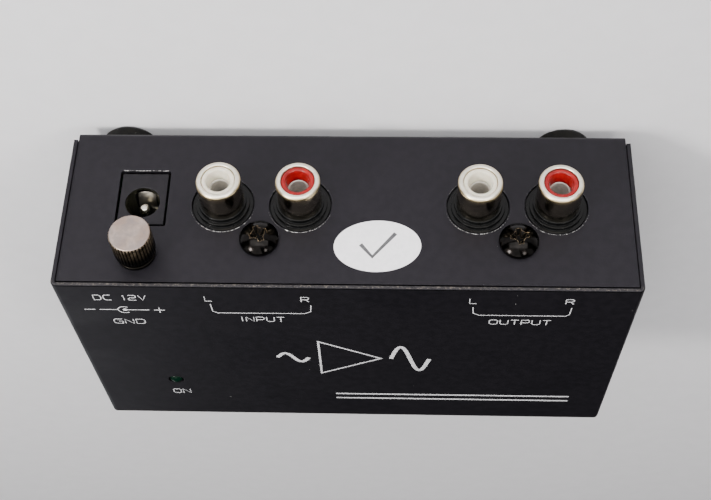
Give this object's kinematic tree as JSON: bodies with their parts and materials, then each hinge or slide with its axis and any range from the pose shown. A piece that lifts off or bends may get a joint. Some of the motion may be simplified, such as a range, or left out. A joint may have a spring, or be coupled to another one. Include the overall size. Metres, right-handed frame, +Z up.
{
  "type": "phono preamplifier",
  "caption": "Small phono preamplifier in a folded black steel case on rubber feet, with paired phono sockets, a barrel power socket, a knurled ground screw and a power light.",
  "frame": {"origin": "on the table under the feet, in the middle of the footprint of the whole outline, sockets included", "axes": "+X along the case, from the power socket's end to the output sockets' end; +Y out of the connector panel; +Z up through the printed cover"},
  "size_m": [0.107, 0.0668, 0.0375],
  "materials": {
    "case_paint": "satin black powder coat",
    "black_screw": "glossy black",
    "foot_rubber": "matte",
    "zinc_steel": "bright zinc",
    "board_green": "solder resist",
    "socket_plastic": "moulded black",
    "nickel_shell": "bright nickel plate",
    "white_insert": "off-white moulding",
    "red_insert": "red moulding",
    "contact_metal": "nickel plate",
    "thumb_nickel": "satin nickel on brass",
    "tinned_metal": "tinned",
    "wire_sleeve": "green PVC",
    "led_green": "dark green lens, unlit",
    "chip_black": "moulded epoxy",
    "can_sleeve": "shrink sleeve",
    "film_case": "moulded box",
    "resistor_paint": "lacquer",
    "sticker_paper": "matte coated paper"
  },
  "bodies": {
    "root": {"chassis": "case_paint", "cover": "case_paint", "cover_screws": "black_screw", "foot_front_left": "foot_rubber", "foot_front_right": "foot_rubber", "foot_rear_left": "foot_rubber", "foot_rear_right": "foot_rubber", "foot_screws": "zinc_steel", "foot_nuts": "zinc_steel", "circuit_board": "board_green", "board_standoffs": "zinc_steel", "board_screws": "zinc_steel", "rca_block_input": "socket_plastic", "rca_block_output": "socket_plastic", "rca_shell_input_left": "nickel_shell", "rca_shell_input_right": "nickel_shell", "rca_shell_output_left": "nickel_shell", "rca_shell_output_right": "nickel_shell", "rca_insert_input_left": "white_insert", "rca_insert_input_right": "red_insert", "rca_insert_output_left": "white_insert", "rca_insert_output_right": "red_insert", "rca_contact_input_left": "contact_metal", "rca_contact_input_right": "contact_metal", "rca_contact_output_left": "contact_metal", "rca_contact_output_right": "contact_metal", "block_screw_input": "black_screw", "block_screw_output": "black_screw", "dc_jack_body": "socket_plastic", "dc_jack_pin": "contact_metal", "dc_jack_terminals": "contact_metal", "ground_lug": "tinned_metal", "ground_nut": "zinc_steel", "ground_wire": "wire_sleeve", "led_lens": "led_green", "led_legs": "tinned_metal", "led_spacer": "socket_plastic", "op_amp_left": "chip_black", "op_amp_right": "chip_black", "op_amp_pins": "tinned_metal", "reservoir_capacitors": "can_sleeve", "coupling_capacitors": "can_sleeve", "film_capacitors": "film_case", "capacitor_leads": "tinned_metal", "resistor_bodies": "resistor_paint", "resistor_leads": "tinned_metal", "voltage_regulator": "chip_black", "protection_diode": "chip_black", "round_sticker": "sticker_paper"},
    "ground_carrier": {"ground_clamp_washer": "thumb_nickel"},
    "ground_screw": {"ground_thumb_screw": "thumb_nickel"},
    "dc_leaf": {"dc_jack_leaf": "contact_metal"}
  },
  "joints": [
    {"name": "ground_lift", "type": "slide", "parent": "root", "child": "ground_carrier", "axis": [0, 1, 0], "range_m": [0, 0.0056]},
    {"name": "ground_turn", "type": "hinge", "parent": "ground_carrier", "child": "ground_screw", "pos_m": [-0.03845, 0.025, 0.03005], "axis": [0, 1, 0], "range_deg": [0, 3060]},
    {"name": "leaf_flex", "type": "hinge", "parent": "root", "child": "dc_leaf", "pos_m": [-0.0387, 0.0123, 0.01415], "axis": [1, 0, 0], "range_deg": [-4, 0], "stiffness_Nm_per_rad": 0.01, "springref_deg": 2.86}
  ],
  "couplings": [
    {"joint": "ground_turn", "follows": "ground_lift", "rad_per_m": 8976}
  ]
}
